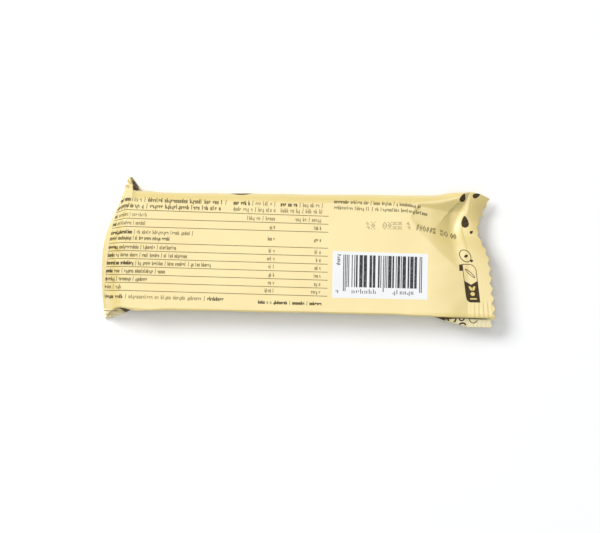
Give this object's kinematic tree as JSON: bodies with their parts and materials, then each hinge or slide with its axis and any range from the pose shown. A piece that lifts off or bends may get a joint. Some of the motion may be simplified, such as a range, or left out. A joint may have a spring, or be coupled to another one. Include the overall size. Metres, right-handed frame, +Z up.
{
  "type": "wrapped snack bar",
  "caption": "Shut flow pack round a snack bar, lying back up: flat pinked seal at the right end, seal folded under at the left, printed pale film.",
  "frame": {"origin": "middle of the pack's bounding box, on the table", "axes": "+X along the pack towards the seal that lies out flat, +Y across it, +Z up from the table, out of the pack's printed back"},
  "size_m": [0.1536, 0.0564, 0.0115],
  "materials": {
    "film": "satin printed packaging film, pale yellow with dark brown print",
    "ink": "dark brown print on the film",
    "white_panel": "white printed panel on the film"
  },
  "bodies": {
    "root": {"wrapper": "film"}
  },
  "joints": []
}
